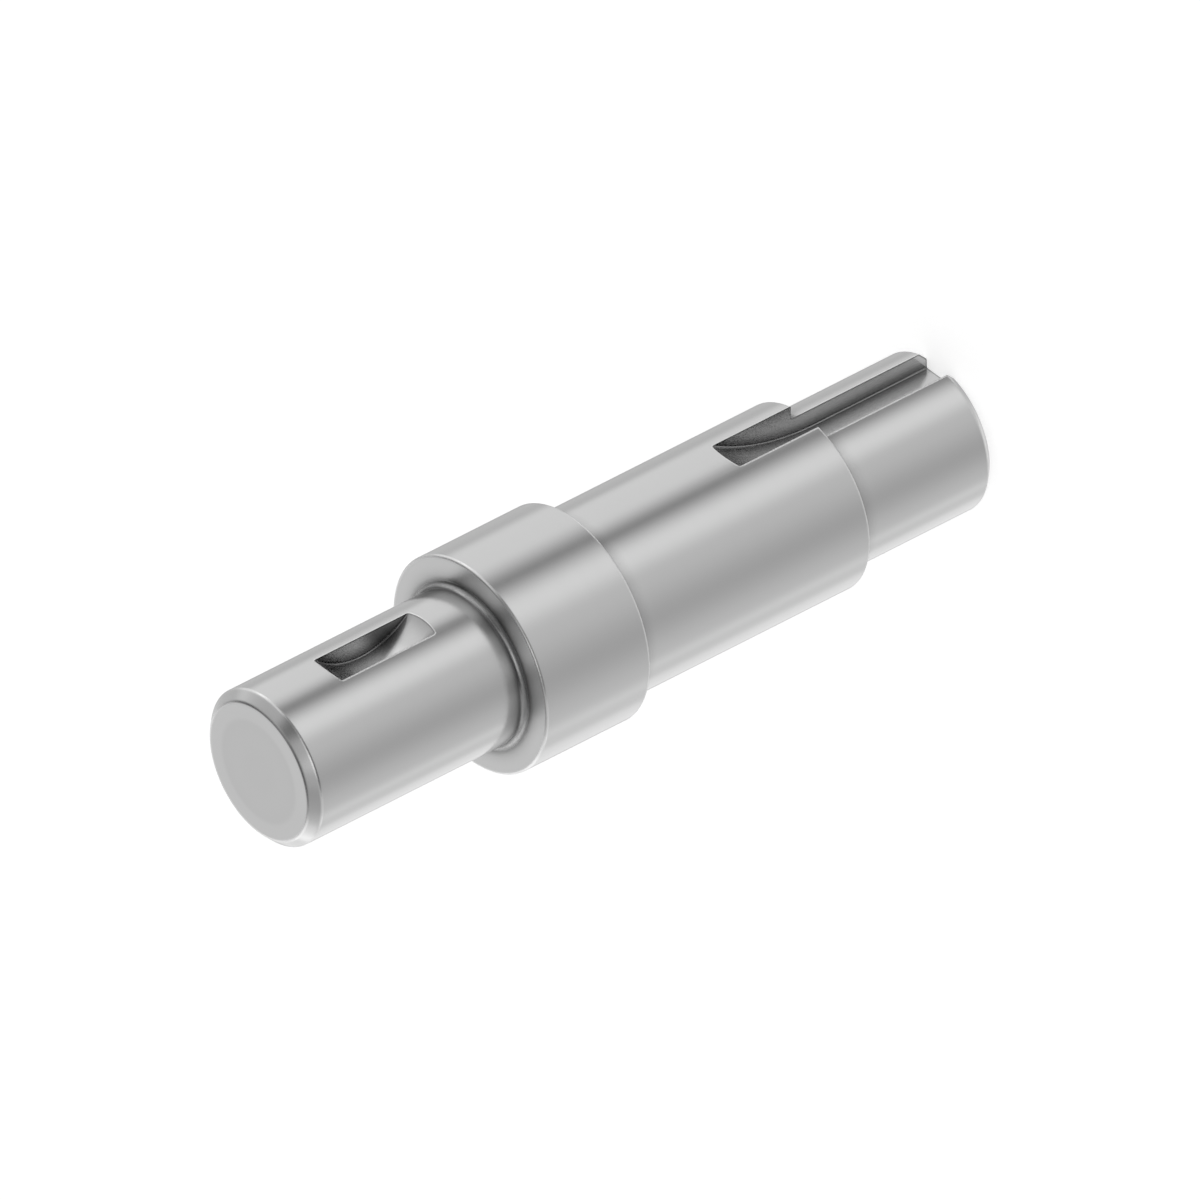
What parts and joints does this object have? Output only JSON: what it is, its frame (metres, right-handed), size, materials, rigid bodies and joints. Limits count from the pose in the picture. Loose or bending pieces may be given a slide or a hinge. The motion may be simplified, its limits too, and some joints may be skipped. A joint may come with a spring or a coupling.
{
  "type": "input shaft",
  "caption": "Stepped turned steel input shaft with a locating collar, bearing seat and keyed ends: a half-round keyseat at one, an open keyway with cutter run-out at the other.",
  "frame": {"origin": "on the shaft's axis, at the end face of the drive end, which it stands on", "axes": "+Z along the shaft's axis, from the drive end up to the hub end; -Y is the side that the keyway and the keyseat open towards; +X completes the frame"},
  "size_m": [0.0348, 0.0348, 0.13],
  "materials": {
    "satin_steel": "fine-turned and polished to an even satin, bare metal"
  },
  "bodies": {
    "root": {"input_shaft": "satin_steel"}
  },
  "joints": []
}
